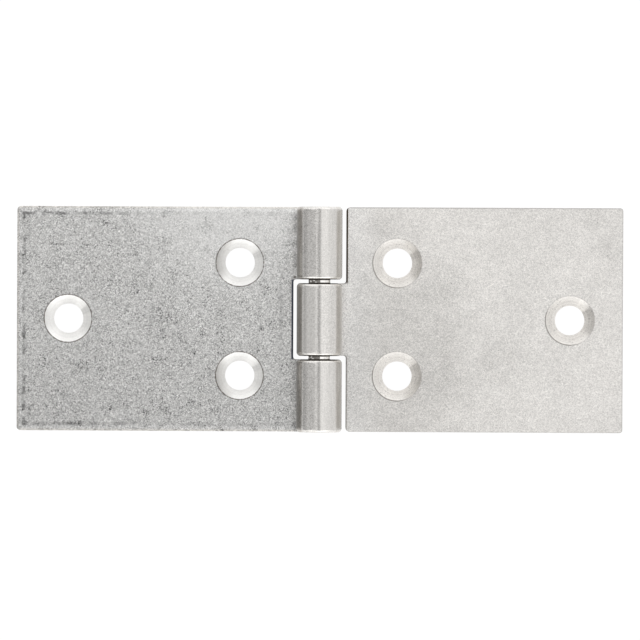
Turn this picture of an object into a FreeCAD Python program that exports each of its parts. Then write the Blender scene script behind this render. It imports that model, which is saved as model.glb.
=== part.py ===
import FreeCAD, Part
import math
import os

# A rolled steel table hinge that lies open and flat, with the screw countersinks upwards.
# The origin is under the middle of the pin, on the plane of both leaves' undersides.
# +X runs to the leaf with one knuckle, +Y along the pin and +Z out of the countersunk faces.
# Sizes are in millimetres and angles in degrees.

# Sheet and leaves
sheet = 1.5
leaf_height = 29.8
leaf_reach = 40.2

# Rolled knuckles: the bore is the inside of the roll, and the sheet's end stops short of the leaf
bore_radius = 1.5
knuckle_gap = 0.5
notch_clearance = 0.5
seam_gap = 0.2

# The blank's corners in plan, and the small bevel that breaks each of its edges
notch_round = 0.35
shoulder_round = 0.55
broken_edge = 0.12

# Knuckle rims: how far their soft edge reaches along the knuckle, and how deep it goes at the end.
# Under the knuckle it fades out along a wide arc.
rim_width = 0.5
rim_depth = 0.32
rim_fade_radius = 5.0

# Screw holes
hole_diameter = 3.9
hole_pair_spacing = 15.0
countersink_angle = 90.0

# Leaf with two knuckles: holes measured from the pin's axis, and the wide soft edge round its upper face
two_corner_round = 0.55
two_pair_distance = 10.6
two_single_distance = 33.4
two_countersink_diameter = 6.3
soft_edge_width = 0.75
soft_edge_depth = 0.22

# Leaf with one knuckle
one_corner_round = 0.4
one_pair_distance = 10.3
one_single_distance = 33.2
one_countersink_diameter = 6.5

# Pin: free in the middle knuckle, gripped in the outer two where it is swelled
pin_clearance = 0.05
pin_recess = 0.25
pin_chamfer = 0.3
grip_length = 2.5
grip_inset = 2.5

# Worked out from the sizes above
knuckle_radius = bore_radius + sheet
half_height = leaf_height / 2
knuckle_length = (leaf_height - 2 * knuckle_gap) / 3
middle_half = knuckle_length / 2
notch_half = middle_half + knuckle_gap
notch_wall = knuckle_radius + notch_clearance
pin_radius = bore_radius - pin_clearance
hole_radius = hole_diameter / 2

# How far a cutting solid runs past the faces that it cuts, and how near counts as touching
overrun = 1.0
touching = 1e-6
# The soft edges are cut under the roll's end, so their cutter stays well inside the seam
seam_overrun = seam_gap / 2

up = FreeCAD.Vector(0, 0, 1)
along_pin = FreeCAD.Vector(0, 1, 0)
pin_axis = FreeCAD.Vector(0, 0, knuckle_radius)


def point(x, y, z=0.0):
    return FreeCAD.Vector(x, y, z)


def line(start, end):
    return Part.makeLine(start, end)


def arc(start, middle, end):
    return Part.Arc(start, middle, end).toShape()


def face_of(edges):
    return Part.Face(Part.Wire(Part.sortEdges(edges)[0]))


def around_pin(radius, angle):
    """A point in the XZ plane at this radius from the pin's axis, and this angle up from +X."""
    turn = math.radians(angle)
    return point(radius * math.cos(turn), 0, knuckle_radius + radius * math.sin(turn))


def roll_end_angle():
    """Where the roll stops: its outer corner is one seam gap above the leaf that it came from."""
    drop = knuckle_radius - sheet - seam_gap
    return -360 - math.degrees(math.asin(drop / knuckle_radius))


def rolled_section():
    """The leaf's section across the pin: a flat strip whose end curls up and over, and down to itself."""
    start_angle = -90
    end_angle = roll_end_angle()
    middle_angle = (start_angle + end_angle) / 2
    outer = arc(around_pin(knuckle_radius, start_angle), around_pin(knuckle_radius, middle_angle),
                around_pin(knuckle_radius, end_angle))
    inner = arc(around_pin(bore_radius, start_angle), around_pin(bore_radius, middle_angle),
                around_pin(bore_radius, end_angle))
    strip = [
        line(around_pin(knuckle_radius, end_angle), around_pin(bore_radius, end_angle)),
        line(point(0, 0, sheet), point(leaf_reach, 0, sheet)),
        line(point(leaf_reach, 0, sheet), point(leaf_reach, 0, 0)),
        line(point(leaf_reach, 0, 0), point(0, 0, 0)),
    ]
    return face_of([outer, inner] + strip)


def rounded_outline(corners):
    """A flat face from corners given as x, y and the radius that rounds each one, 0 for sharp."""
    count = len(corners)
    edges = []
    ends = []
    for index, (x, y, radius) in enumerate(corners):
        here = point(x, y)
        to_last = (point(*corners[index - 1][:2]) - here).normalize()
        to_next = (point(*corners[(index + 1) % count][:2]) - here).normalize()
        if radius == 0:
            ends.append((here, here))
            continue
        half = to_last.getAngle(to_next) / 2
        setback = radius / math.tan(half)
        inward = (to_last + to_next).normalize()
        first = here + to_last * setback
        last = here + to_next * setback
        crest = here + inward * (radius / math.sin(half) - radius)
        edges.append(arc(first, crest, last))
        ends.append((first, last))
    for index in range(count):
        edges.append(line(ends[index - 1][1], ends[index][0]))
    return face_of(edges)


def blank_with_two_knuckles():
    """The blank seen from above: a notch in the middle leaves a tab at each end to roll."""
    tip = -knuckle_radius - overrun
    corner = two_corner_round
    return rounded_outline([
        (tip, -half_height, 0), (leaf_reach, -half_height, corner),
        (leaf_reach, half_height, corner), (tip, half_height, 0),
        (tip, notch_half, 0), (notch_wall, notch_half, notch_round),
        (notch_wall, -notch_half, notch_round), (tip, -notch_half, 0),
    ])


def blank_with_one_knuckle():
    """The blank seen from above: both corners are cut away, which leaves the middle tab to roll."""
    tip = -knuckle_radius - overrun
    corner = one_corner_round
    return rounded_outline([
        (tip, -middle_half, 0), (notch_wall, -middle_half, notch_round),
        (notch_wall, -half_height, shoulder_round), (leaf_reach, -half_height, corner),
        (leaf_reach, half_height, corner), (notch_wall, half_height, shoulder_round),
        (notch_wall, middle_half, notch_round), (tip, middle_half, 0),
    ])


def rolled_blank(outline):
    """The rolled strip, cut through from above to the blank's outline."""
    strip = rolled_section()
    strip.translate(along_pin * -(half_height + overrun))
    strip = strip.extrude(along_pin * (leaf_height + 2 * overrun))
    outline.translate(up * -overrun)
    stock = outline.extrude(up * (2 * knuckle_radius + 2 * overrun))
    return strip.common(stock).Solids[0]


def skin_edges(blank, height, radius):
    """The edges of one skin of the sheet: at this height on the flat, and at this radius on the roll.
    The lines where the roll starts, and the sheet's cut end, aren't among them."""
    found = []
    for edge in blank.Edges:
        middle = edge.valueAt((edge.FirstParameter + edge.LastParameter) / 2)
        level = abs(middle.z - height) < touching and edge.BoundBox.ZLength < touching
        from_axis = math.hypot(middle.x, middle.z - knuckle_radius)
        round_rim = abs(from_axis - radius) < touching and edge.BoundBox.YLength < touching
        if (level and middle.x > touching) or round_rim:
            found.append(edge)
    return found


def broken_edges(blank):
    """Bevels every edge of both skins, round the leaf and round the knuckles' mouths and rims."""
    outside = skin_edges(blank, 0, knuckle_radius)
    inside = skin_edges(blank, sheet, bore_radius)
    return blank.makeChamfer(broken_edge, outside + inside)


def soft_edge_section(width, depth, skin, inward):
    """What a soft edge loses, in the YZ plane: an arc that leaves the skin level and runs down to the
    end wall. The wall is at y 0 with the metal towards -Y. The skin is at this height, and inward is
    1 where the metal is above it, or -1 where it is below."""
    radius = (width ** 2 + depth ** 2) / (2 * depth)
    turn = math.asin(width / radius)
    start = point(0, -width, skin)
    middle = start + point(0, math.sin(turn / 2), inward * (1 - math.cos(turn / 2))) * radius
    end = point(0, 0, skin + inward * depth)
    beyond = end + point(0, math.cos(turn), inward * math.sin(turn)) * seam_overrun
    outside = skin - inward * seam_overrun
    return face_of([
        arc(start, middle, end), line(end, beyond), line(beyond, point(0, beyond.y, outside)),
        line(point(0, beyond.y, outside), point(0, -width, outside)),
        line(point(0, -width, outside), start),
    ])


def round_the_pin(section):
    """Sweeps a section from under the pin along the roll to the sheet's end."""
    return section.revolve(pin_axis, along_pin, -90 - roll_end_angle())


def both_ends(cutters):
    """The same cutters again at the opposite end of the knuckles."""
    return cutters + [cutter.mirror(point(0, 0), along_pin) for cutter in cutters]


def rim_cutters(end, facing):
    """Softens two knuckle rims, at this distance either side of the middle. Facing is 1 where the
    rims face away from the middle, and -1 where they face it."""
    section = soft_edge_section(rim_width, rim_depth, 0, 1)
    if facing < 0:
        section = section.mirror(point(0, 0), along_pin)
    section.translate(along_pin * end)
    fade_centre = up * -rim_fade_radius
    fade_angle = math.degrees(math.acos(1 - 2 * rim_depth / rim_fade_radius))
    return both_ends([round_the_pin(section), section.revolve(fade_centre, along_pin, fade_angle)])


def soft_side_cutters():
    """Softens the upper edges that cross the pin, and carries on round the bore's mouths."""
    section = soft_edge_section(soft_edge_width, soft_edge_depth, sheet, -1)
    section.translate(along_pin * half_height)
    return both_ends([section.extrude(point(leaf_reach + overrun, 0)), round_the_pin(section)])


def soft_end_cutter():
    """Softens the upper edge that runs parallel to the pin."""
    section = soft_edge_section(soft_edge_width, soft_edge_depth, sheet, -1)
    section.rotate(point(0, 0), up, -90)
    section.translate(point(leaf_reach, -half_height - overrun))
    return section.extrude(along_pin * (leaf_height + 2 * overrun))


def screw_hole(x, y, countersink_diameter):
    """A through hole with its countersink, as the solid that it takes away."""
    slope = math.tan(math.radians(countersink_angle / 2))
    depth = (countersink_diameter / 2 - hole_radius) / slope
    corners = [
        point(0, 0, -overrun), point(hole_radius, 0, -overrun),
        point(hole_radius, 0, sheet - depth),
        point(countersink_diameter / 2 + overrun * slope, 0, sheet + overrun),
        point(0, 0, sheet + overrun),
    ]
    section = Part.Face(Part.makePolygon(corners + corners[:1]))
    hole = section.revolve(point(0, 0), up, 360)
    hole.translate(point(x, y))
    return hole


def screw_holes(pair_distance, single_distance, countersink_diameter):
    """Three holes in a triangle: a pair beside the knuckles and a single one near the outer edge."""
    places = [
        (pair_distance, hole_pair_spacing / 2),
        (pair_distance, -hole_pair_spacing / 2),
        (single_distance, 0),
    ]
    return [screw_hole(x, y, countersink_diameter) for x, y in places]


def leaf_with_two_knuckles():
    leaf = broken_edges(rolled_blank(blank_with_two_knuckles()))
    cutters = rim_cutters(half_height, 1) + rim_cutters(notch_half, -1)
    cutters += soft_side_cutters() + [soft_end_cutter()]
    cutters += screw_holes(two_pair_distance, two_single_distance, two_countersink_diameter)
    leaf = leaf.cut(cutters).Solids[0]
    # Built towards +X like the other leaf, then turned round to face it
    leaf.rotate(point(0, 0), up, 180)
    return leaf


def leaf_with_one_knuckle():
    leaf = broken_edges(rolled_blank(blank_with_one_knuckle()))
    cutters = rim_cutters(middle_half, 1)
    cutters += screw_holes(one_pair_distance, one_single_distance, one_countersink_diameter)
    return leaf.cut(cutters).Solids[0]


def hinge_pin():
    """A turned pin, shorter than the knuckles together, with a swelled band near each end."""
    half_pin = half_height - pin_recess
    grip_outer = half_height - grip_inset
    grip_inner = grip_outer - grip_length
    upper = [
        (pin_radius, grip_inner), (bore_radius, grip_inner),
        (bore_radius, grip_outer), (pin_radius, grip_outer),
        (pin_radius, half_pin - pin_chamfer), (pin_radius - pin_chamfer, half_pin),
        (0, half_pin),
    ]
    lower = [(radius, -y) for radius, y in reversed(upper)]
    corners = [pin_axis + point(radius, y) for radius, y in lower + upper]
    section = Part.Face(Part.makePolygon(corners + corners[:1]))
    return section.revolve(pin_axis, along_pin, 360)


def main():
    pieces = {
        "leaf_two_knuckles": leaf_with_two_knuckles(),
        "leaf_one_knuckle": leaf_with_one_knuckle(),
        "hinge_pin": hinge_pin(),
    }
    os.makedirs("parts", exist_ok=True)
    for name, shape in pieces.items():
        shape.exportStep(f"parts/{name}.step")


main()
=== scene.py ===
import bpy
import math
from mathutils import Matrix

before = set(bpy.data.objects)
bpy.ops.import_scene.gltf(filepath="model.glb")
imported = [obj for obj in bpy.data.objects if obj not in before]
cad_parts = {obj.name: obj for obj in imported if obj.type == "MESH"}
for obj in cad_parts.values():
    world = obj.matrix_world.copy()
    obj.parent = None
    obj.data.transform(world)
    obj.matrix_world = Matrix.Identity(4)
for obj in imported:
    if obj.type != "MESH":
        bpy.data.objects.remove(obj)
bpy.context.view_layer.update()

mm_per_metre = 1000.0

# Sizes of the hinge in millimetres, as in the CAD model
leaf_reach = 40.2
half_height = 14.9
knuckle_radius = 3.0
knuckle_half = 4.8
notch_half = 5.3
notch_wall = 3.5

# Camera: straight above but for these small angles in degrees. Its distances are in metres.
camera_distance = 0.6
camera_tilt_x = 0.44
camera_tilt_y = -0.96
camera_roll = -0.267
camera_offset = (0.000037, -0.000089)
camera_lens = 253.8
camera_sensor = 36.0
camera_nearest = 0.05
camera_farthest = 20.0

# The floor's half width and how far it lies under the leaves, in metres, and its greys
floor_half = 3.0
floor_drop = 0.00002
floor_grey = 0.8
floor_shadow_grey = 0.08
floor_glow = 0.96

# Colours of the bare metal and of the dirt on it, as the share of light that each gives back
dull_tint = (1.0, 0.992, 0.975)
warm_tint = (1.0, 0.974, 0.938)
brown_tint = (1.0, 0.9, 0.76)
navy_shade = (0.035, 0.045, 0.08)
brown_shade = (0.06, 0.045, 0.03)

# Single marks, in millimetres. Each smudge has x and y of its middle, and its radius.
polished_middle = (-12.0, 16.0, 0.0)
handled_middle = (9.0, -5.0, 0.0)
handled_squash = 0.8
nick_middle = (-3.3, 5.6, 0.0)
# Where the painted shade along the knuckles' foot lies
foot_shade_x = -2.9
rubbed_line_x = -5.1
# Middle of the painted dark reflection along the knuckles' crown
crown_reflection_x = -0.15
notch_line_x = -notch_wall - 0.1
# Where the painted shadow lines along the shoulders lie
shoulder_shadow_x = notch_wall + 0.05
inside_border = 0.95
rim_offset = 0.02
smudges = [(8.5, 12.8, 3.0), (36.3, 13.4, 2.2), (38.6, 9.5, 2.6), (24.0, -5.5, 4.5), (17.5, 4.5, 3.5)]

# Relief in millimetres: the turned rings, the sheared walls, and the rounding of the knuckles' ends
ring_relief = 0.002
shear_relief = 0.02
rounding_reach = 0.7
rounding_depth = 0.15

# Lines that are drawn out along one axis: the squeeze along X, Y and Z, the size and the detail
streak_lines = ((2.5, 0.25, 2.5), 0.9, 3.0)
score_lines = ((7.0, 0.3, 7.0), 0.9, 2.0)
shear_lines = ((5.0, 5.0, 0.6), 0.9, 3.0)
wire_lines = ((4.0, 0.15, 4.0), 0.6, 3.0)

# In each look below, a fade gives the value where something isn't there yet and the value where it
# is full: millimetres, radians round an axis, or plain numbers for directions and random values.
# A noise has a size, a detail and a seed, and some a distortion and a crispness. Dust has a size and
# a seed, specks have a cell, a radius and a seed, and hairs a cell, a length, a width, a bend and a
# seed. A total has a plain value, and how much each mark adds to it or takes from it.
leaf_fades = {
    "outside_roll": (knuckle_radius + 0.06, knuckle_radius + 0.03),
    "not_end_face": (0.97, 0.9),
    "level_face": (0.6, 0.85),
    "cone_edge": (0.01, -0.03),
    "above_underside": (0.05, 0.15),
    "shaded_left_flank": (-0.8, -0.95),
    "shaded_right_flank": (0.8, 0.95),
    "crown_reflection": (0.2, 0.08),
    "crown_breaks": (-0.5, 0.2),
    "crown_stops": (0.5, 0.9),
    "glint": (0.4, 0.2),
    "shaded_knuckle_end": (0.14, 0.06),
    "rim": (0.1, 0.03),
    "top_of_cone": (1.2, 1.4),
    "chatter_above": (0.68, 0.54),
    "chatter_below": (-0.9, -0.3),
    "chatter_darkest": (0.25, 0.1),
    "sector_light_beside": (0.34, 0.12),
    "sector_light_left": (-0.2, -0.8),
}
leaf_totals = {
    "shaded_flank": {"plain": 0.0, "shaded_left_flank": 1.0, "shaded_right_flank": 0.4},
    "crown_path": {"plain": 0.0, "scores": 1.0, "grain": 0.6},
    "wall": {"plain": 1.0, "shear": 0.5},
    "cone_roughness": {"plain": 0.32, "rings": 0.05},
}
dull_look = {
    "name": "tumbled_steel",
    "holes": [(-10.6, 7.5), (-10.6, -7.5), (-33.4, 0.0)],
    "countersink": 3.15,
    "knuckle_ends": [notch_half, half_height],
    "face_tone": 0.525,
    "knuckle_tone": 0.625,
    "cone_tone": 0.9,
    "wall_tone": 0.42,
    "knuckle_smoothness": 0.75,
    "border_raggedness": 0.3,
    "rubbed_line_bend": 0.15,
    "rubbed_line_share": 0.7,
    "seeds": {"streaks": 53.0, "scores": 57.0, "shear": 71.0, "rings": 61.0, "chatter_and_shade": 68.0},
    "noises": {
        "clouds": (5.0, 2.0, 11.0),
        "patches": (1.2, 2.0, 23.0),
        "grain": (0.3, 3.0, 5.0, 0.6, 0.75),
        "flocks": (2.0, 3.0, 24.0),
        "blotches": (0.9, 1.0, 67.0),
        "unevenness": (0.4, 3.0, 41.0, 0.0, 0.7),
    },
    "dusts": {"fine": (0.1, 7.0), "coarse": (0.13, 9.0)},
    "specks": {"dark_specks": (0.3, 0.14, 31.0), "light_specks": (0.5, 0.15, 37.0)},
    "hairs": {
        "light_hairs": (0.9, 0.8, 0.07, 0.5, 3.0),
        "more_hairs": (0.7, 0.5, 0.06, -0.8, 17.0),
        "dark_hairs": (0.7, 0.7, 0.08, 0.6, 29.0),
    },
    "fades": {
        **leaf_fades,
        "crowded": (-0.2, 0.35),
        "clusters": (0.05, 0.35),
        "soot": (0.4, 0.9),
        "broken_hairs": (-0.8, 0.2),
        "polished": (17.0, 4.0),
        "border": (0.8, 0.55),
        "border_streaks": (0.0, 0.4),
        "far_left": (-22.0, -32.0),
        "dotted": (-0.3, 0.2),
        "just_inside": (0.3, 0.12),
        "outermost": (0.35, 0.15),
        "foot": (1.0, 0.2),
        "beside_notch": (notch_half - 0.2, notch_half),
        "foot_shade_and_rub": (-0.3, 0.6),
        "rubbed_line": (0.35, 0.1),
        "rubbed_ends": (5.0, 4.0),
        "rubbed_breaks": (-0.3, 0.4),
        "rough_shaded_left_half": (0.2, -0.6),
        "smudge": (0.35, 0.6),
        "rim_breaks": (-0.4, 0.1),
        "nick": (0.2, 0.08),
        "in_notch": (notch_half + 0.05, notch_half - 0.1),
        "notch_line": (0.17, 0.09),
    },
    "totals": {
        **leaf_totals,
        "dark_specks": {"plain": 0.3, "crowded": 0.3, "clusters": 0.9},
        "soot": {"plain": 0.35, "clusters": 1.0},
        "dark_hairs": {"plain": 0.0, "crowded": 0.4, "clusters": 1.0},
        "speckle": {"plain": 0.0, "grain": 0.04, "fine": 0.58, "light_hairs": 0.22, "more_hairs": 0.2,
                    "light_specks": 0.1, "dark_hairs": -0.6, "dark_specks": -0.5, "soot": -0.6},
        "contrast": {"plain": 0.8, "crowded": 0.2},
        "polished_calm": {"plain": 1.0, "polished": -0.55},
        "mottle": {"plain": 1.06, "clouds": 0.07, "crowded": -0.04, "clusters": -0.03, "speckle": 1.0},
        "trend": {"plain": 1.02, "x": 0.002, "y": 0.0045, "polished": 0.19},
        "border_streaks": {"plain": 0.0, "patches": 1.0, "grain": 0.8, "fine": 0.3},
        "left_streaks": {"plain": 0.25, "far_left": 0.75},
        "border_dots": {"plain": 0.45, "dotted": 0.55},
        "border_calm": {"plain": 1.0, "border": -0.1},
        "border_tone": {"plain": 1.0, "border": 0.14},
        "inside_tone": {"plain": 1.0, "just_inside": -0.75},
        "foot_shade_and_rub": {"plain": 0.0, "grain": 1.0, "patches": 1.0},
        "rubbed_breaks": {"plain": 0.0, "patches": 1.0, "fine": 0.4},
        "foot_shade_and_rub_tone": {"plain": 1.0, "foot_shade_and_rub": -0.4},
        "knuckle_speckle": {"plain": 0.0, "grain": 0.5, "fine": 0.28, "dark_specks": -0.35},
        "rough_side": {"plain": 0.25, "rough_shaded_left_half": 0.35},
        "knuckle": {"plain": 1.0, "streaks": 0.12, "scores": 0.06, "rough_shaded_left_half": -0.1, "shaded_flank": -0.35,
                    "crown_reflection": -0.2, "glint": 0.35, "knuckle_speckle": 1.0},
        "chatter_and_shade": {"plain": 0.0, "marked": 0.12, "darkest": 0.07, "sector_light": -0.08},
        "cone": {"plain": 1.0, "rings": 0.08, "fine": 0.05, "smudge": -0.08, "chatter_and_shade": -1.0},
        "rim_breaks": {"plain": 0.0, "grain": 1.0, "fine": 0.3},
        "roughness": {"plain": 0.45, "grain": 0.06, "border": -0.08, "light_hairs": -0.1},
        "knuckle_roughness": {"plain": 0.2, "grain": 0.05, "shaded_flank": 0.1},
        "relief": {"plain": 0.0, "grain": 0.003, "fine": 0.001, "dark_specks": -0.008,
                   "light_hairs": -0.003, "patches": 0.003},
    },
    "stains": {"shaded_flank": 0.35, "outermost": 0.25, "nick": 0.8, "rim": 0.95, "notch_line": 0.9,
               "shaded_knuckle_end": 0.7},
}
bright_look = {
    "name": "pale_steel",
    "holes": [(10.3, 7.5), (10.3, -7.5), (33.2, 0.0)],
    "countersink": 3.25,
    "knuckle_ends": [knuckle_half],
    "face_tone": 0.745,
    "knuckle_tone": 0.625,
    "cone_tone": 0.83,
    "wall_tone": 0.4,
    "knuckle_smoothness": 0.6,
    "rim_side": (-0.77, -0.64, 0.0),
    "smudge_core": 0.2,
    "seeds": {"streaks": 137.0, "scores": 141.0, "shear": 151.0, "rings": 139.0, "chatter_and_shade": 150.0},
    "noises": {
        "clouds": (5.0, 3.0, 101.0),
        "patches": (1.4, 3.0, 103.0),
        "grain": (0.3, 3.0, 107.0, 0.6, 0.75),
        "wander": (1.5, 3.0, 171.0),
    },
    "dusts": {"fine": (0.1, 109.0)},
    "specks": {"dark_specks": (0.45, 0.12, 131.0), "cone_pits": (0.35, 0.14, 149.0)},
    "hairs": {
        "light_hairs": (1.0, 0.8, 0.06, 0.2, 113.0),
        "more_hairs": (0.7, 0.6, 0.05, -0.25, 127.0),
    },
    "fades": {
        **leaf_fades,
        "crowded": (-0.1, 0.4),
        "handled": (16.0, 5.0),
        "painted_light_beside_knuckle": (5.5, 3.2),
        "along_knuckle": (knuckle_half, knuckle_half - 0.3),
        "upper_face": (0.5, 1.0),
        "top_edge_shade": (0.2, 0.08),
        "top_edge_breaks": (-0.5, 0.1),
        "near_knuckles": (9.0, 4.0),
        "shaded_left_foot": (-2.0, -2.5),
        "rim_side": (0.2, 0.7),
        "upper_shoulder_shadow": (knuckle_half - 0.1, knuckle_half + 0.2),
        "lower_shoulder_shadow": (0.1 - knuckle_half, -0.2 - knuckle_half),
        "shoulder_shadow_line": (0.24, 0.14),
        "shoulder_dots": (-0.1, 0.3),
    },
    "totals": {
        **leaf_totals,
        "dark_specks": {"plain": 0.0, "crowded": 0.5, "smudge": 0.8},
        "handled": {"plain": 0.0, "from_handled": 1.0, "clouds": 3.0, "patches": 1.0},
        "mottle": {"plain": 0.99, "clouds": 0.06, "patches": 0.09, "grain": 0.08, "fine": 0.2,
                   "light_hairs": 0.15, "more_hairs": 0.14, "dark_specks": -0.4, "handled": -0.16,
                   "smudge": -0.07},
        "face_places": {"plain": 1.0, "near_knuckles": 0.04, "painted_light_beside_knuckle": 0.15, "top_edge_shade": -0.3},
        "knuckle": {"plain": 1.0, "streaks": 0.08, "scores": 0.05, "grain": 0.2, "fine": 0.12,
                    "shaded_flank": -0.3, "crown_reflection": -0.2, "glint": 0.35, "shaded_left_foot": -0.15},
        "chatter_and_shade": {"plain": 0.0, "marked": 0.16, "darkest": 0.07, "sector_light": -0.08},
        "cone": {"plain": 1.0, "rings": 0.2, "grain": 0.05, "fine": 0.12, "cone_pits": -0.3,
                 "chatter_and_shade": -1.0},
        "rim_side": {"plain": 0.0, "towards_rim_side": 1.0, "grain": 0.4},
        "rim": {"plain": 0.3, "rim_side": 1.0},
        "shoulder_dots": {"plain": 0.0, "fine": 0.4, "grain": 1.0},
        "roughness": {"plain": 0.42, "grain": 0.04, "light_hairs": -0.08, "clouds": 0.05},
        "knuckle_roughness": {"plain": 0.2, "grain": 0.04, "shaded_flank": 0.1},
        "relief": {"plain": 0.0, "grain": 0.003, "fine": 0.0005, "dark_specks": -0.008,
                   "light_hairs": -0.003, "patches": 0.002},
    },
    "stains": {"cool_strip": 0.5, "shaded_flank": 0.35, "rim": 0.5, "upper_shoulder_shadow": 1.0,
               "lower_shoulder_shadow": 0.4, "shaded_knuckle_end": 0.7},
}
wire_look = {
    "name": "drawn_wire",
    "tone": 0.9,
    "line_seed": 201.0,
    "noises": {"blots": (0.6, 2.0, 203.0)},
    "dusts": {"bare_spots": (0.3, 207.0)},
    "specks": {},
    "fades": {
        "shadow_near_wall": (0.13, 0.18),
        "pin_crown_reflection": (0.17, 0.1),
        "bare_spots": (0.3, 0.5),
        "left_side": (0.0, -0.15),
        "dark_blots": (0.25, 0.45),
        "clean_ends": (7.0, 6.0),
    },
    "darkness": {"dark_blots": 0.8, "pin_crown_reflection": 0.7, "stained_side": 0.75, "shadow_near_wall": 1.0},
    "totals": {
        "tone": {"plain": 1.0, "lines": 0.2},
        "roughness": {"plain": 0.15, "lines": 0.05, "stains_and_shade": 0.3},
        "relief": {"plain": 0.0, "lines": 0.002, "blots": 0.002},
    },
    "stains": {"stains_and_shade": 0.95},
}
tent_look = {
    "brightness": 1.2,
    "steepness": 0.72,
    "slot_x": 0.015,
    "fades": {
        "left": (0.0, 0.12),
        "left_of_slot": (-0.2, -0.32),
        "slot": (0.12, 0.09),
        "slot_height": (0.3, 0.6),
        "low": (0.55, 0.15),
        "ends": (0.75, 0.45),
        "front": (0.2, -0.8),
        "right": (0.5, 1.0),
    },
    "totals": {
        "left": {"plain": 0.33, "low": 0.2},
        "shade": {"plain": 0.0, "right": 0.15, "left": 1.0, "slot": 0.55},
        "ends": {"plain": 0.15, "front": 0.25},
        "light": {"plain": 1.0, "ends": 1.0, "shade": -1.0},
    },
}


class Field:
    """A value that varies over a surface: the output socket of a shader node."""

    def __init__(self, paint, socket):
        self.paint = paint
        self.socket = socket

    def __add__(self, other):
        return self.paint.math("ADD", self, other)

    def __sub__(self, other):
        return self.paint.math("SUBTRACT", self, other)

    def __mul__(self, other):
        return self.paint.math("MULTIPLY", self, other)

    def __rsub__(self, other):
        return self.paint.math("SUBTRACT", other, self)

    def __abs__(self):
        return self.paint.math("ABSOLUTE", self)

    __radd__ = __add__
    __rmul__ = __mul__


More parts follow.
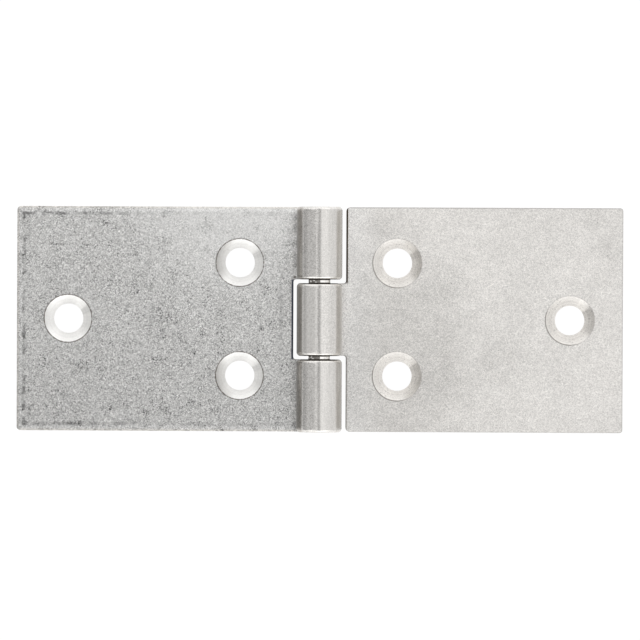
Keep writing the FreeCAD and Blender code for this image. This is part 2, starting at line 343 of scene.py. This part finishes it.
class Paint:
    """One tree of shader nodes, and the marks on the surface by name. The methods add nodes and hand
    back the fields that they make."""

    seed_shift = (1.0, 1.7, 0.6)
    speck_core = 0.4
    hair_core = 0.35
    hair_strength = (0.2, 0.8)

    def __init__(self, owner, look):
        owner.use_nodes = True
        self.tree = owner.node_tree
        self.tree.nodes.clear()
        self.look = look
        self.marks = {}

    def node(self, kind, inputs, output=0, **settings):
        made = self.tree.nodes.new(kind)
        for name, value in settings.items():
            setattr(made, name, value)
        for key, value in inputs.items():
            if isinstance(value, Field):
                self.tree.links.new(value.socket, made.inputs[key])
            else:
                made.inputs[key].default_value = value
        return Field(self, made.outputs[output])

    def other(self, field, output):
        """Another output of the node that made this field."""
        return Field(self, field.socket.node.outputs[output])

    def math(self, operation, *values):
        return self.node("ShaderNodeMath", dict(enumerate(values)), operation=operation)

    def vector(self, operation, *values):
        return self.node("ShaderNodeVectorMath", dict(enumerate(values)), operation=operation)

    def measure(self, operation, a, b):
        """What a vector operation gives as a number, such as a distance."""
        return self.node("ShaderNodeVectorMath", {0: a, 1: b}, "Value", operation=operation)

    def split(self, vector):
        x = self.node("ShaderNodeSeparateXYZ", {0: vector})
        return x, self.other(x, 1), self.other(x, 2)

    def join(self, x, y, z=0.0):
        return self.node("ShaderNodeCombineXYZ", {0: x, 1: y, 2: z})

    def chain(self, operation, fields):
        """The least or the most of some fields."""
        result = fields[0]
        for field in fields[1:]:
            result = self.math(operation, result, field)
        return result

    def smooth(self, value, none, full):
        """0 at none, 1 at full and an even slope between them. None may be the larger."""
        inputs = {"Value": value, "From Min": none, "From Max": full}
        return self.node("ShaderNodeMapRange", inputs, interpolation_type="SMOOTHSTEP")

    def fade(self, name, value):
        """From 0 to 1 between the two values that the look gives under this name."""
        return self.smooth(value, *self.look["fades"][name])

    def total(self, name):
        """The plain value under this name in the look, plus each mark times its own number."""
        shares = dict(self.look["totals"][name])
        result = shares.pop("plain")
        for mark, share in shares.items():
            result = result + self.marks[mark] * share
        return result

    def blend(self, share, a, b):
        """A number that goes from a to b as share goes from 0 to 1."""
        return self.node("ShaderNodeMix", {0: share, 2: a, 3: b}, data_type="FLOAT")

    def blend_vectors(self, share, a, b):
        return self.node("ShaderNodeMix", {0: share, 4: a, 5: b}, 1, data_type="VECTOR")

    def tinted(self, tone, tint):
        """A tone as a colour, whose blue and green are weaker where the tint says so."""
        return self.join(tone * tint[0], tone * tint[1], tone * tint[2])

    def find_place(self):
        """Where a point is on its own node, in millimetres."""
        metres = self.node("ShaderNodeTexCoord", {}, "Object")
        self.place = self.vector("MULTIPLY", metres, (mm_per_metre,) * 3)
        self.x, self.y, self.z = self.split(self.place)
        self.marks.update({"x": self.x, "y": self.y})

    def shifted(self, place, seed):
        """The place moved far enough for this seed's pattern to differ from the others'."""
        return self.vector("ADD", place, tuple(seed * share for share in self.seed_shift))

    def noise(self, place, size, detail, seed, distortion=0.0, crisp=0.5):
        """Soft random lumps about this many millimetres across, from -1 to 1. Crisp is how much of
        it is finer than that."""
        inputs = {"Vector": self.shifted(place, seed), "Scale": 1 / size, "Detail": detail,
                  "Distortion": distortion, "Roughness": crisp}
        return (self.node("ShaderNodeTexNoise", inputs) - 0.5) * 2.0

    def lines(self, shape, seed):
        """Noise that is drawn out into lines along the axis with the least squeeze."""
        squeeze, size, detail = shape
        return self.noise(self.vector("MULTIPLY", self.place, squeeze), size, detail, seed)

    def cells(self, place, size, seed):
        """Random cells about this many millimetres across: how far off their centre is, the way
        there, and two random numbers for each."""
        moved = self.shifted(place, seed)
        reach = self.node("ShaderNodeTexVoronoi", {"Vector": moved, "Scale": 1 / size})
        from_centre = self.vector("SUBTRACT", moved, self.other(reach, "Position"))
        chance, luck, _ = self.split(self.other(reach, "Color"))
        return reach * size, from_centre, chance, luck

    def dust(self, place, size, seed):
        """Flat grains about this many millimetres across, each with its own value from -1 to 1."""
        _, _, chance, _ = self.cells(place, size, seed)
        return (chance - 0.5) * 2.0

    def pits(self, place, size, radius, seed):
        """Round specks of different sizes, up to this radius, one to each cell."""
        reach, _, chance, _ = self.cells(place, size, seed)
        own_radius = radius * chance
        return self.smooth(reach, own_radius, own_radius * self.speck_core)

    def hairs(self, flat_place, cell, length, width, bend, seed):
        """Short curved scratches, one to each cell, each lying its own way."""
        _, from_centre, chance, luck = self.cells(flat_place, cell, seed)
        turn = {"Vector": from_centre, "Angle": chance * math.tau}
        turned = self.node("ShaderNodeVectorRotate", turn, rotation_type="Z_AXIS")
        along, across, _ = self.split(turned)
        line = self.smooth(abs(across + along * along * bend), width, width * self.hair_core)
        end = self.smooth(abs(along), length / 2, length / 3)
        return line * end * self.smooth(luck, *self.hair_strength)

    def scatter_marks(self):
        """The noises, the dust and the specks that the look lists."""
        for name, noise in self.look["noises"].items():
            self.marks[name] = self.noise(self.place, *noise)
        for name, dust in self.look["dusts"].items():
            self.marks[name] = self.dust(self.place, *dust)
        for name, specks in self.look["specks"].items():
            self.marks[name] = self.pits(self.place, *specks)

    def stain(self, name, shade):
        """Covers the colour with a shade where this mark is."""
        share = self.marks[name] * self.look["stains"][name]
        self.colour = self.blend_vectors(share, self.colour, shade)

    def finish_steel(self, roughness, relief):
        """Ends the tree in bare metal. The relief is in millimetres."""
        bump = {"Height": relief, "Distance": 1 / mm_per_metre, "Strength": 1.0}
        normal = self.node("ShaderNodeBump", bump)
        inputs = {"Base Color": self.colour, "Metallic": 1.0, "Roughness": roughness, "Normal": normal}
        self.finish(self.node("ShaderNodeBsdfPrincipled", inputs))

    def finish(self, shader, kind="ShaderNodeOutputMaterial"):
        end = self.tree.nodes.new(kind)
        self.tree.links.new(shader.socket, end.inputs["Surface"])


class LeafPaint(Paint):
    """What both leaves share: where their parts are, and the marks on knuckles, countersinks and
    walls."""

    flat_roll_x = 50.0
    ring_size = 0.09
    ring_detail = 2.0
    chatter_noise = (0.1, 3.0)
    chatter_crisp = 0.7
    chatter_raggedness = 0.12
    chatter_darkest = 0.42
    sector_light_beside = 0.88
    crown_raggedness = 0.08

    def __init__(self, owner, look):
        super().__init__(owner, look)
        self.find_place()
        self.around_holes()
        self.find_parts()
        self.scatter_marks()
        self.scratch_sheet()
        self.mark_knuckles()
        self.mark_countersinks()
        self.marks["shear"] = self.lines(shear_lines, look["seeds"]["shear"])

    def around_holes(self):
        """The distance from the nearest screw hole's axis, where that is, and the way from there."""
        here = self.join(self.x, self.y)
        holes = [(*hole, 0.0) for hole in self.look["holes"]]
        outwards = self.vector("SUBTRACT", here, holes[0])
        self.from_hole = self.measure("DISTANCE", here, holes[0])
        for hole in holes[1:]:
            reach = self.measure("DISTANCE", here, hole)
            closer = self.math("LESS_THAN", reach, self.from_hole)
            outwards = self.blend_vectors(closer, outwards, self.vector("SUBTRACT", here, hole))
            self.from_hole = self.math("MINIMUM", self.from_hole, reach)
        self.hole_axis = self.vector("SUBTRACT", here, outwards)
        self.outwards = self.vector("NORMALIZE", outwards)

    def find_parts(self):
        """Where the knuckles, the countersunk cones and the flat faces are, from 0 to 1."""
        _, along_pin, upwards = self.split(self.node("ShaderNodeTexCoord", {}, "Normal"))
        from_pin = self.measure("DISTANCE", self.join(self.x, self.z), (0.0, knuckle_radius, 0.0))
        self.roll = self.fade("outside_roll", from_pin) * self.fade("not_end_face", abs(along_pin))
        self.from_rim = self.from_hole - self.look["countersink"]
        in_cone = self.fade("cone_edge", self.from_rim)
        self.cone = in_cone * self.fade("above_underside", self.z)
        level = self.fade("level_face", abs(upwards))
        self.flat = level * (1.0 - self.cone) * (1.0 - self.roll)
        self.turn = self.math("ARCTAN2", self.x, self.z - knuckle_radius)

    def scratch_sheet(self):
        """Hair scratches on the sheet's outside, as if the knuckles lay flat beside it."""
        rolled_x = self.turn * knuckle_radius + self.flat_roll_x
        sheet_place = self.join(self.blend(self.roll, self.x, rolled_x), self.y)
        for name, hairs in self.look["hairs"].items():
            self.marks[name] = self.hairs(sheet_place, *hairs)

    def mark_knuckles(self):
        """Streaks and scores along the pin, a ragged painted dark reflection on top, a painted glint
        near the ends with painted shade at the ends beside the gaps, and painted shade on both flanks
        below the slope, where they are also rougher."""
        marks = self.marks
        marks["streaks"] = self.lines(streak_lines, self.look["seeds"]["streaks"])
        marks["scores"] = self.lines(score_lines, self.look["seeds"]["scores"])
        reaches = [abs(abs(self.y) - end) for end in self.look["knuckle_ends"]]
        self.from_knuckle_end = self.chain("MINIMUM", reaches)
        # A painted dark reflection along the knuckles' crown, ragged and broken, stopping short of the
        # ends
        path = self.total("crown_path")
        line = self.fade("crown_reflection", abs(self.x - crown_reflection_x + path * self.crown_raggedness))
        line = line * self.fade("crown_breaks", path)
        marks["crown_reflection"] = line * self.fade("crown_stops", self.from_knuckle_end)
        # A painted glint near the knuckles' ends
        marks["glint"] = self.fade("glint", self.from_knuckle_end)
        # Painted shade at the knuckles' ends beside the gaps
        marks["shaded_knuckle_end"] = self.fade("shaded_knuckle_end", reaches[0]) * self.roll
        # Painted shade on the knuckles' flanks, which are also rougher there
        marks["shaded_left_flank"] = self.fade("shaded_left_flank", self.turn)
        marks["shaded_right_flank"] = self.fade("shaded_right_flank", self.turn)
        marks["shaded_flank"] = self.total("shaded_flank") * self.roll

    def mark_countersinks(self):
        """Turned rings, a rim, and on the +X side of each countersink radial tool marks darkened by
        painted shade, with a sharp upper end, and a little painted light beside it and on the -X side."""
        marks = self.marks
        seeds = self.look["seeds"]
        ring_place = self.join(self.from_hole, 0.0)
        marks["rings"] = self.noise(ring_place, self.ring_size, self.ring_detail, seeds["rings"])
        rim = self.fade("rim", abs(self.from_rim - rim_offset))
        marks["rim"] = rim * self.fade("top_of_cone", self.z)
        east, north, _ = self.split(self.outwards)
        turn = self.math("ARCTAN2", north, east)
        spoke_place = self.vector("ADD", self.outwards, self.hole_axis)
        spokes = self.noise(spoke_place, *self.chatter_noise, seeds["chatter_and_shade"], 0.0, self.chatter_crisp)
        ragged = turn + spokes * self.chatter_raggedness
        # Radial tool marks, darkened by painted shade in this sector
        sector = self.fade("chatter_above", ragged) * self.fade("chatter_below", ragged)
        marks["marked"] = sector * (1.0 + spokes)
        marks["darkest"] = self.fade("chatter_darkest", abs(ragged - self.chatter_darkest))
        # Painted light beside the shaded sector and on the -X side
        beside = self.fade("sector_light_beside", abs(turn - self.sector_light_beside))
        marks["sector_light"] = beside + self.fade("sector_light_left", east)
        marks["chatter_and_shade"] = self.total("chatter_and_shade")

    def gather(self, *names):
        """Multiplies each of these marks by the total of the same name."""
        for name in names:
            self.marks[name] = self.marks[name] * self.total(name)

    def lay_tones(self, face):
        """The tone of the sheared walls, with the faces, the knuckles and the cones laid over it."""
        walls = self.total("wall") * self.look["wall_tone"]
        knuckles = self.total("knuckle") * self.look["knuckle_tone"]
        cones = self.total("cone") * self.look["cone_tone"]
        self.tone = self.blend(self.flat, walls, face * self.look["face_tone"])
        self.tone = self.blend(self.roll, self.tone, knuckles)
        self.tone = self.blend(self.cone, self.tone, cones)

    def tinge(self, name, tint):
        """Tints the metal where this mark is."""
        self.stain(name, self.tinted(self.tone, tint))

    def finish_leaf(self):
        """The roughness and the relief of all parts, and the end of the tree."""
        roll = self.roll
        cone = self.cone
        roughness = self.blend(roll, self.total("roughness"), self.total("knuckle_roughness"))
        roughness = self.blend(cone, roughness, self.total("cone_roughness"))
        relief = self.total("relief") * (1.0 - roll * self.look["knuckle_smoothness"]) * (1.0 - cone)
        relief = relief + cone * self.marks["rings"] * ring_relief
        near_end = self.math("MAXIMUM", rounding_reach - self.from_knuckle_end, 0.0)
        relief = relief - near_end * near_end * rounding_depth * roll
        walls = (1.0 - self.flat) * (1.0 - roll) * (1.0 - cone)
        self.finish_steel(roughness, relief + walls * self.marks["shear"] * shear_relief)


def dull_steel():
    """The leaf with two knuckles: grey, mottled by tumbling, with a pale border and specks inside it."""
    material = bpy.data.materials.new(dull_look["name"])
    paint = LeafPaint(material, dull_look)
    marks = paint.marks
    x = paint.x
    y = paint.y

    # Dark marks in clusters, and a polished area where the grain is weaker
    marks["crowded"] = paint.fade("crowded", marks["patches"])
    marks["clusters"] = paint.fade("clusters", marks["flocks"])
    marks["soot"] = paint.fade("soot", marks["coarse"])
    paint.gather("dark_specks", "soot", "dark_hairs")
    marks["dark_hairs"] = marks["dark_hairs"] * paint.fade("broken_hairs", marks["fine"])
    from_polished = paint.measure("DISTANCE", paint.join(x, y), polished_middle)
    marks["polished"] = paint.fade("polished", from_polished)
    contrast = paint.total("contrast") * paint.total("polished_calm")
    marks["speckle"] = paint.total("speckle") * contrast

    # Pale border, with dark dotted streaks just inside it
    from_edge = paint.math("MINIMUM", half_height - abs(y), x + leaf_reach)
    ragged = from_edge + marks["unevenness"] * dull_look["border_raggedness"]
    marks["border"] = paint.fade("border", ragged)
    marks["far_left"] = paint.fade("far_left", x)
    marks["dotted"] = paint.fade("dotted", marks["fine"])
    streaks = paint.fade("border_streaks", paint.total("border_streaks")) * paint.total("left_streaks")
    inside = paint.fade("just_inside", abs(ragged - inside_border))
    marks["just_inside"] = inside * streaks * paint.total("border_dots")
    marks["outermost"] = paint.fade("outermost", from_edge) * paint.flat

    # Painted shade along the knuckles' foot, and a rubbed line beside the notch
    foot = paint.fade("foot", abs(x - foot_shade_x)) * paint.fade("beside_notch", abs(y))
    foot_shade_and_rub = foot * paint.fade("foot_shade_and_rub", paint.total("foot_shade_and_rub"))
    from_line = abs(x - rubbed_line_x + marks["grain"] * dull_look["rubbed_line_bend"])
    rubbed = paint.fade("rubbed_line", from_line) * paint.fade("rubbed_ends", abs(y))
    rubbed = rubbed * paint.fade("rubbed_breaks", paint.total("rubbed_breaks"))
    marks["foot_shade_and_rub"] = paint.math("MAXIMUM", foot_shade_and_rub, rubbed * dull_look["rubbed_line_share"])

    # Knuckles that are rougher on their left half and darker there by painted shade, and smudged
    # countersinks with a broken rim
    marks["rough_shaded_left_half"] = paint.fade("rough_shaded_left_half", x)
    marks["knuckle_speckle"] = paint.total("knuckle_speckle") * paint.total("rough_side")
    marks["smudge"] = paint.fade("smudge", marks["blotches"])
    marks["rim"] = marks["rim"] * paint.fade("rim_breaks", paint.total("rim_breaks"))

    # A nick at the notch's upper corner, and the line along the notch's wall
    from_nick = paint.measure("DISTANCE", paint.join(x, y), nick_middle)
    marks["nick"] = paint.fade("nick", from_nick)
    notch_line = paint.fade("notch_line", abs(x - notch_line_x))
    marks["notch_line"] = notch_line * paint.fade("in_notch", abs(y))

    face = 1.0 + (paint.total("mottle") - 1.0) * paint.total("border_calm")
    for name in ("trend", "border_tone", "inside_tone", "foot_shade_and_rub_tone"):
        face = face * paint.total(name)
    paint.lay_tones(face)
    cool = paint.tinted(paint.tone, dull_tint)
    paint.colour = paint.blend_vectors(paint.roll, cool, paint.tinted(paint.tone, warm_tint))
    # Painted shade: the knuckles' flanks tinted brown
    paint.tinge("shaded_flank", brown_tint)
    paint.tinge("outermost", brown_tint)
    paint.stain("nick", brown_shade)
    paint.stain("rim", brown_shade)
    paint.stain("notch_line", navy_shade)
    # Painted shade at the knuckles' ends beside the gaps
    paint.stain("shaded_knuckle_end", brown_shade)
    paint.finish_leaf()
    return material


def smudged(paint):
    """Where the faint smudges are, from 0 to 1, with ragged edges."""
    ragged = paint.join(paint.marks["wander"], 0.0)
    here = paint.vector("ADD", paint.join(paint.x, paint.y), ragged)
    spots = []
    for x, y, radius in smudges:
        reach = paint.measure("DISTANCE", here, (x, y, 0.0))
        spots.append(paint.smooth(reach, radius, radius * bright_look["smudge_core"]))
    return paint.chain("MAXIMUM", spots)


def bright_steel():
    """The leaf with one knuckle: pale, smooth and slightly warm, with faint clouds and scratches."""
    material = bpy.data.materials.new(bright_look["name"])
    paint = LeafPaint(material, bright_look)
    marks = paint.marks
    x = paint.x
    y = paint.y

    # Smudges, dark specks, and a duller patch where the leaf was handled
    marks["smudge"] = smudged(paint)
    marks["crowded"] = paint.fade("crowded", marks["patches"])
    paint.gather("dark_specks")
    squashed = paint.join(x, y * handled_squash)
    marks["from_handled"] = paint.measure("DISTANCE", squashed, handled_middle)
    marks["handled"] = paint.fade("handled", paint.total("handled"))

    # Brighter strips near the knuckles, painted light beside the knuckle's foot, painted shade on the
    # knuckle's left flank, and a broken painted shade line along the top edge
    strip = paint.fade("painted_light_beside_knuckle", x) * paint.fade("along_knuckle", abs(y))
    marks["painted_light_beside_knuckle"] = strip * paint.fade("upper_face", paint.z)
    top_edge_shade = paint.fade("top_edge_shade", half_height - y)
    marks["top_edge_shade"] = top_edge_shade * paint.fade("top_edge_breaks", marks["grain"])
    marks["near_knuckles"] = paint.fade("near_knuckles", x)
    marks["shaded_left_foot"] = paint.fade("shaded_left_foot", x)

    # Rims that are darker at the lower left
    lower_left = paint.measure("DOT_PRODUCT", paint.outwards, bright_look["rim_side"])
    marks["towards_rim_side"] = lower_left
    marks["rim_side"] = paint.fade("rim_side", paint.total("rim_side"))
    paint.gather("rim")

    # Painted shadow lines along both shoulders, dotted on the lower one
    line = paint.fade("shoulder_shadow_line", abs(x - shoulder_shadow_x))
    dots = paint.fade("shoulder_dots", paint.total("shoulder_dots"))
    marks["upper_shoulder_shadow"] = line * paint.fade("upper_shoulder_shadow", y)
    marks["lower_shoulder_shadow"] = line * paint.fade("lower_shoulder_shadow", y) * dots

    paint.lay_tones(paint.total("mottle") * paint.total("face_places"))
    paint.colour = paint.tinted(paint.tone, warm_tint)
    marks["cool_strip"] = marks["near_knuckles"] * paint.flat
    paint.tinge("cool_strip", dull_tint)
    # Painted shade: the knuckle's flanks tinted brown
    paint.tinge("shaded_flank", brown_tint)
    # Painted shadow along the shoulders and painted shade at the knuckles' ends, with the rims
    for name in ("rim", "upper_shoulder_shadow", "lower_shoulder_shadow", "shaded_knuckle_end"):
        paint.stain(name, brown_shade)
    paint.finish_leaf()
    return material


def drawn_wire():
    """The pin: drawn steel with fine lines along it, and in the gaps dark stains, painted shadow beside
    the knuckles' walls and a painted dark reflection along its top.
    """
    material = bpy.data.materials.new(wire_look["name"])
    paint = Paint(material, wire_look)
    paint.find_place()
    paint.scatter_marks()
    marks = paint.marks
    marks["lines"] = paint.lines(wire_lines, wire_look["line_seed"])
    marks["dark_blots"] = paint.fade("dark_blots", marks["blots"])
    from_gap = abs(abs(paint.y) - (knuckle_half + notch_half) / 2)
    # Painted shadow beside the knuckles' walls, and a painted dark reflection along the pin's top
    marks["shadow_near_wall"] = paint.fade("shadow_near_wall", from_gap)
    marks["pin_crown_reflection"] = paint.fade("pin_crown_reflection", abs(paint.x))
    covered = 1.0 - paint.fade("bare_spots", marks["bare_spots"])
    marks["stained_side"] = paint.fade("left_side", paint.x) * covered
    stains = [marks[name] * share for name, share in wire_look["darkness"].items()]
    marks["stains_and_shade"] = paint.chain("MAXIMUM", stains) * paint.fade("clean_ends", abs(paint.y))
    tone = paint.total("tone") * wire_look["tone"]
    paint.colour = paint.tinted(tone, warm_tint)
    paint.stain("stains_and_shade", brown_shade)
    paint.finish_steel(paint.total("roughness"), paint.total("relief"))
    return material


def dress_nodes():
    coats = {
        "leaf_two_knuckles": dull_steel(),
        "leaf_one_knuckle": bright_steel(),
        "hinge_pin": drawn_wire(),
    }
    for name, coat in coats.items():
        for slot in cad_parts[name].material_slots:
            slot.material = coat


def aim_camera():
    """Above the hinge and nearly square to it."""
    data = bpy.data.cameras.new("camera")
    data.lens = camera_lens
    data.sensor_width = camera_sensor
    data.clip_start = camera_nearest
    data.clip_end = camera_farthest
    camera = bpy.data.objects.new("camera", data)
    bpy.context.scene.collection.objects.link(camera)
    turn = Matrix.Rotation(math.radians(camera_roll), 4, "Z")
    turn = turn @ Matrix.Rotation(math.radians(camera_tilt_y), 4, "Y")
    turn = turn @ Matrix.Rotation(math.radians(camera_tilt_x), 4, "X")
    camera.matrix_world = turn.inverted() @ Matrix.Translation((*camera_offset, camera_distance))
    bpy.context.scene.camera = camera


def lay_floor():
    """A pale floor under the leaves. To the camera, straight or by reflection, it glows white with
    the hinge's faint shadow."""
    mesh = bpy.data.meshes.new("floor")
    corners = [(-floor_half, -floor_half, 0.0), (floor_half, -floor_half, 0.0),
               (floor_half, floor_half, 0.0), (-floor_half, floor_half, 0.0)]
    mesh.from_pydata(corners, [], [(0, 1, 2, 3)])
    floor = bpy.data.objects.new("floor", mesh)
    floor.location.z = -floor_drop
    bpy.context.scene.collection.objects.link(floor)
    material = bpy.data.materials.new("pale_floor")
    paint = Paint(material, {})
    camera_ray = paint.node("ShaderNodeLightPath", {}, "Is Camera Ray")
    glossy_ray = paint.other(camera_ray, "Is Glossy Ray")
    through_ray = paint.other(camera_ray, "Is Transmission Ray")
    seen = paint.math("MINIMUM", camera_ray + glossy_ray + through_ray, 1.0)
    greys = [(grey, grey, grey, 1.0) for grey in (floor_grey, floor_shadow_grey)]
    plain = paint.node("ShaderNodeBsdfDiffuse", {"Color": greys[0]})
    shadowed = paint.node("ShaderNodeBsdfDiffuse", {"Color": greys[1]})
    glow = {"Color": (1.0, 1.0, 1.0, 1.0), "Strength": floor_glow}
    white = paint.node("ShaderNodeAddShader", {0: shadowed, 1: paint.node("ShaderNodeEmission", glow)})
    paint.finish(paint.node("ShaderNodeMixShader", {0: seen, 1: plain, 2: white}))
    mesh.materials.append(material)


def light_room():
    """A bright tent that is dimmer on the left, with a narrow dark slot straight above. The camera
    sees it as plain white."""
    world = bpy.data.worlds.new("tent")
    bpy.context.scene.world = world
    paint = Paint(world, tent_look)
    marks = paint.marks
    x, y, z = paint.split(paint.node("ShaderNodeTexCoord", {}, "Generated"))
    level = paint.math("SQRT", x * x + y * y)
    towards_left = (0.0 - x) - level * tent_look["steepness"]
    marks["low"] = paint.fade("low", z)
    marks["front"] = paint.fade("front", y)
    marks["right"] = paint.fade("right", x)
    left = paint.fade("left", towards_left) * paint.fade("left_of_slot", x)
    marks["left"] = left * paint.total("left")
    slot = paint.fade("slot", abs(x - tent_look["slot_x"]))
    marks["slot"] = slot * paint.fade("slot_height", z)
    marks["ends"] = marks["low"] * paint.fade("ends", abs(x)) * paint.total("ends")
    marks["shade"] = paint.total("shade")
    light = paint.total("light") * tent_look["brightness"]
    camera_ray = paint.node("ShaderNodeLightPath", {}, "Is Camera Ray")
    sky = {"Color": (1.0, 1.0, 1.0, 1.0), "Strength": paint.blend(camera_ray, light, 1.0)}
    paint.finish(paint.node("ShaderNodeBackground", sky), "ShaderNodeOutputWorld")


aim_camera()
dress_nodes()
lay_floor()
light_room()
bpy.context.scene.view_settings.view_transform = "Standard"
